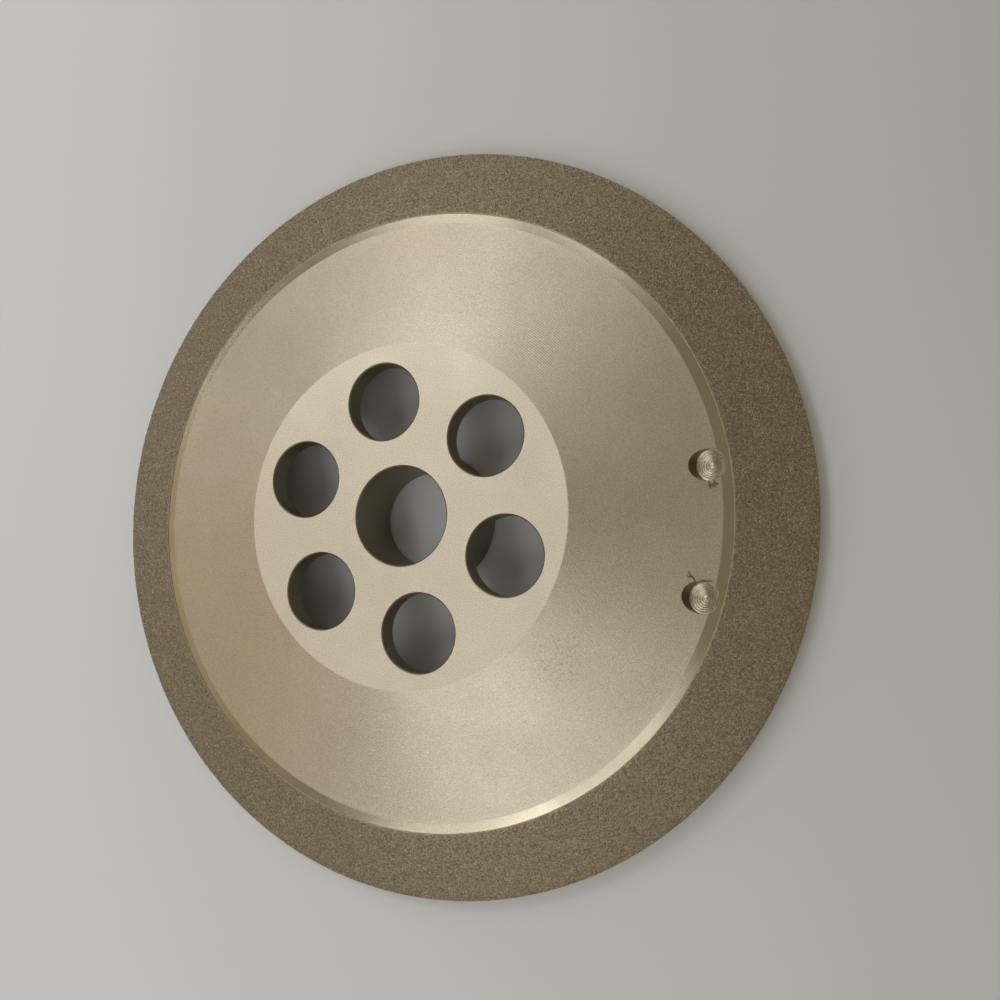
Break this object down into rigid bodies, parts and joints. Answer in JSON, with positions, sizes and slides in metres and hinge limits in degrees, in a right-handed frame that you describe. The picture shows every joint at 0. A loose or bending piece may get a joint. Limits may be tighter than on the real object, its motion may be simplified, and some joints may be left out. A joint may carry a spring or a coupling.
{
  "type": "diamond grinding wheel",
  "caption": "Dish-shaped grinding wheel: a turned metal core with a raised flat hub, central bore, ring of plain holes and conical web, and diamond grit plated on the outer band.",
  "frame": {"origin": "on the wheel axis, in the plane of the rear boss face and the rear rim land", "axes": "+Z along the axis towards the working side; the six holes lie at 30 degrees from +X and every 60 degrees on"},
  "size_m": [0.2, 0.2, 0.02],
  "materials": {
    "plated_core": "fine turned steel with a warm satin nickel plate",
    "nickel_bond": "matt plated nickel between the grains",
    "diamond_grit": "sharp diamond grains, dull with small bright facets"
  },
  "bodies": {
    "root": {"wheel_core": "plated_core", "nickel_bond": "nickel_bond", "diamond_grit": "diamond_grit"}
  },
  "joints": []
}
